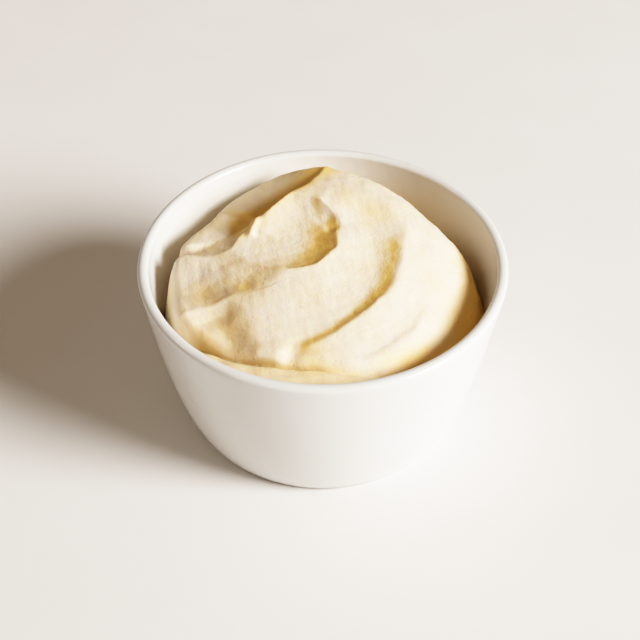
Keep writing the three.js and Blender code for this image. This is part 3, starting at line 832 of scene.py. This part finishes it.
def new_material(name):
    """A material, its node tree, its Principled shader and its object coordinates."""
    material = bpy.data.materials.new(name)
    material.use_nodes = True
    tree = material.node_tree
    coordinates = add(tree, "TexCoord", {}).outputs["Object"]
    return material, tree, tree.nodes["Principled BSDF"], coordinates


def set_values(shader, **values):
    """Constant values on the shader's own sockets."""
    for key, value in values.items():
        shader.inputs[key.replace("_", " ")].default_value = value


def set_looks(tree, shader, color, roughness, normal):
    """Links what changes over the surface to the shader."""
    tree.links.new(color, shader.inputs["Base Color"])
    tree.links.new(roughness, shader.inputs["Roughness"])
    tree.links.new(normal, shader.inputs["Normal"])


GLAZE = (0.80, 0.80, 0.78, 1)
GLAZE_WARM = (0.79, 0.78, 0.745, 1)
BARE_CLAY = (0.62, 0.58, 0.52, 1)
BARE_ROUGHNESS = 0.75
BARE_TO = dict(start=0.0003, end=0.0008)  # metres above the table over which the clay gives way to glaze


def make_glaze():
    """White glaze, slightly wavy and clouded, with a bare matt ring where the bowl stands."""
    material, tree, shader, coordinates = new_material("bowl_glaze")
    white = mix_colors(tree, uneven(tree, coordinates, scale=45.0), GLAZE, GLAZE_WARM)
    height = add(tree, "SeparateXYZ", {0: coordinates}).outputs["Z"]
    bare = map_range(tree, height, **BARE_TO, low=1.0, high=0.0)
    color = mix_colors(tree, bare, white, BARE_CLAY)
    shine = uneven(tree, coordinates, scale=70.0, low=0.12, high=0.2)
    roughness = mix_values(tree, bare, shine, BARE_ROUGHNESS)
    waves = uneven(tree, coordinates, scale=110.0)
    set_looks(tree, shader, color, roughness, add_bump(tree, waves, strength=0.12, distance=0.0004))
    set_values(shader, IOR=1.5)
    return material


POTATO = (0.88, 0.765, 0.62, 1)
POTATO_BUTTERY = (0.88, 0.735, 0.545, 1)
# Painted shade: a golden colour for shade and light through the mash, and a dark colour for the shaded
# crease.
POTATO_GOLDEN_SHADE = (0.88, 0.57, 0.165, 1)
POTATO_CREASE_SHADE = (0.5, 0.32, 0.1, 1)


def make_potato():
    """Moist mash: buttery patches, painted golden shade where it lies in shade or where light would come
    through it, painted dark shade along the line at the mound's foot, with spoon streaks, fine grain and
    small pits."""
    material, tree, shader, coordinates = new_material("mashed_potato")
    top = mix_colors(tree, uneven(tree, coordinates, scale=90.0), POTATO, POTATO_BUTTERY)
    # Painted shade: the golden tint is mixed in, then the dark line at the mound's foot.
    shaded_top = mix_colors(tree, read_attribute(tree, "golden_shade", "Fac"), top, POTATO_GOLDEN_SHADE)
    dark = multiply(tree, read_attribute(tree, "crease", "Fac"), CREASE_SHADE["strength"])
    color = mix_colors(tree, dark, shaded_top, POTATO_CREASE_SHADE)
    roughness = uneven(tree, coordinates, scale=160.0, low=0.46, high=0.62)
    streaks = uneven(tree, read_attribute(tree, "stroke", "Vector"), scale=420.0)
    streaked = add_bump(tree, streaks, strength=0.2, distance=0.0004)
    lumps = grain(tree, coordinates, scale=1100.0, pits=0.6)
    normal = add_bump(tree, lumps, strength=0.4, distance=0.0004, Normal=streaked)
    set_looks(tree, shader, color, roughness, normal)
    set_values(
        shader, Subsurface_Weight=0.5, Subsurface_Radius=(1.0, 0.45, 0.15), Subsurface_Scale=0.001, IOR=1.4,
    )
    return material


PAPER = (0.86, 0.84, 0.82, 1)
PAPER_WARM = (0.85, 0.825, 0.80, 1)


def make_paper():
    """The pale floor's matt, faintly uneven paper."""
    material, tree, shader, coordinates = new_material("floor_paper")
    color = mix_colors(tree, uneven(tree, coordinates, scale=9.0), PAPER, PAPER_WARM)
    roughness = uneven(tree, coordinates, scale=40.0, low=0.55, high=0.7)
    fibres = grain(tree, coordinates, scale=1500.0, pits=0.0)
    set_looks(tree, shader, color, roughness, add_bump(tree, fibres, strength=0.1, distance=0.0002))
    return material


bowl.data.materials.append(make_glaze())
mash.data.materials.append(make_potato())


# ---- Floor, light and camera, in metres

FLOOR_HALF = 2.0  # half the side of the floor
WORLD_COLOR = (1.0, 0.735, 0.48, 1)
WORLD_STRENGTH = 0.33


def make_floor():
    """A plain pale floor under the bowl."""
    half = FLOOR_HALF
    mesh = bpy.data.meshes.new("floor")
    corners = [(-half, -half, 0), (half, -half, 0), (half, half, 0), (-half, half, 0)]
    mesh.from_pydata(corners, [], [(0, 1, 2, 3)])
    floor = bpy.data.objects.new("floor", mesh)
    bpy.context.scene.collection.objects.link(floor)
    mesh.materials.append(make_paper())


def direction(azimuth, elevation):
    """Unit vector towards a point at that azimuth from +X and elevation, in degrees."""
    a, e = math.radians(azimuth), math.radians(elevation)
    return Vector((math.cos(a) * math.cos(e), math.sin(a) * math.cos(e), math.sin(e)))


def make_lamp(name, towards, distance, size, watts, color):
    """A round soft light that faces the bowl."""
    lamp = bpy.data.lights.new(name, "AREA")
    lamp.shape = "DISK"
    lamp.size = size
    lamp.energy = watts
    lamp.color = color
    lamp_object = bpy.data.objects.new(name, lamp)
    bpy.context.scene.collection.objects.link(lamp_object)
    lamp_object.location = towards * distance + Vector((0, 0, BRIM * MM))
    lamp_object.rotation_mode = "QUATERNION"
    lamp_object.rotation_quaternion = towards.to_track_quat("Z", "Y")


def make_light():
    """A soft light from the front right, a weak one from the left, and warm light from all round."""
    make_lamp(
        "key", direction(azimuth=-26, elevation=30.5), distance=3.0, size=1.32, watts=258,
        color=(1.0, 0.985, 0.97),
    )
    make_lamp(
        "fill", direction(azimuth=172, elevation=40), distance=2.0, size=0.5, watts=5,
        color=(1.0, 0.97, 0.93),
    )
    world = bpy.data.worlds.new("studio")
    bpy.context.scene.world = world
    world.use_nodes = True
    background = world.node_tree.nodes["Background"]
    background.inputs["Color"].default_value = WORLD_COLOR
    background.inputs["Strength"].default_value = WORLD_STRENGTH


FILM_RANGE = 6.0  # the brightest light the film tells apart, where 1 is normal white
FILM_POWER = 1.3
# Points of the film's curve, as shares of its range
FILM_POINTS = (0.005, 0.01, 0.02, 0.035, 0.05, 0.07, 0.1, 0.14, 0.19, 0.25, 0.35, 0.5, 0.7)


def film_value(share):
    """How light of that share of the film's range is shown."""
    return 1 - math.exp(-((FILM_RANGE * share) ** FILM_POWER))


def set_film():
    """A bright exposure whose highlights roll off: each channel x is shown as 1 − e^(−x^FILM_POWER)."""
    view = bpy.context.scene.view_settings
    view.view_transform = "Standard"
    view.use_curve_mapping = True
    mapping = view.curve_mapping
    mapping.white_level = (FILM_RANGE,) * 3
    curve = mapping.curves[3]  # the one for all channels
    for share in FILM_POINTS:
        curve.points.new(share, film_value(share))
    curve.points[-1].location = (1, film_value(1))
    mapping.update()


CAMERA_DISTANCE = 0.65
CAMERA_ELEVATION = 42.38
CAMERA_TARGET = Vector((-0.92, 0, 36.06)) * MM
LENS = 110.0  # millimetres, as the sensor's width is
SENSOR = 36


def make_camera():
    """A long lens that looks down on the front of the bowl."""
    data = bpy.data.cameras.new("camera")
    camera = bpy.data.objects.new("camera", data)
    bpy.context.scene.collection.objects.link(camera)
    back = direction(azimuth=-90, elevation=CAMERA_ELEVATION)
    camera.location = CAMERA_TARGET + back * CAMERA_DISTANCE
    camera.rotation_mode = "QUATERNION"
    camera.rotation_quaternion = (-back).to_track_quat("-Z", "Y")
    data.lens = LENS
    data.sensor_width = SENSOR
    bpy.context.scene.camera = camera


make_floor()
make_light()
set_film()
make_camera()
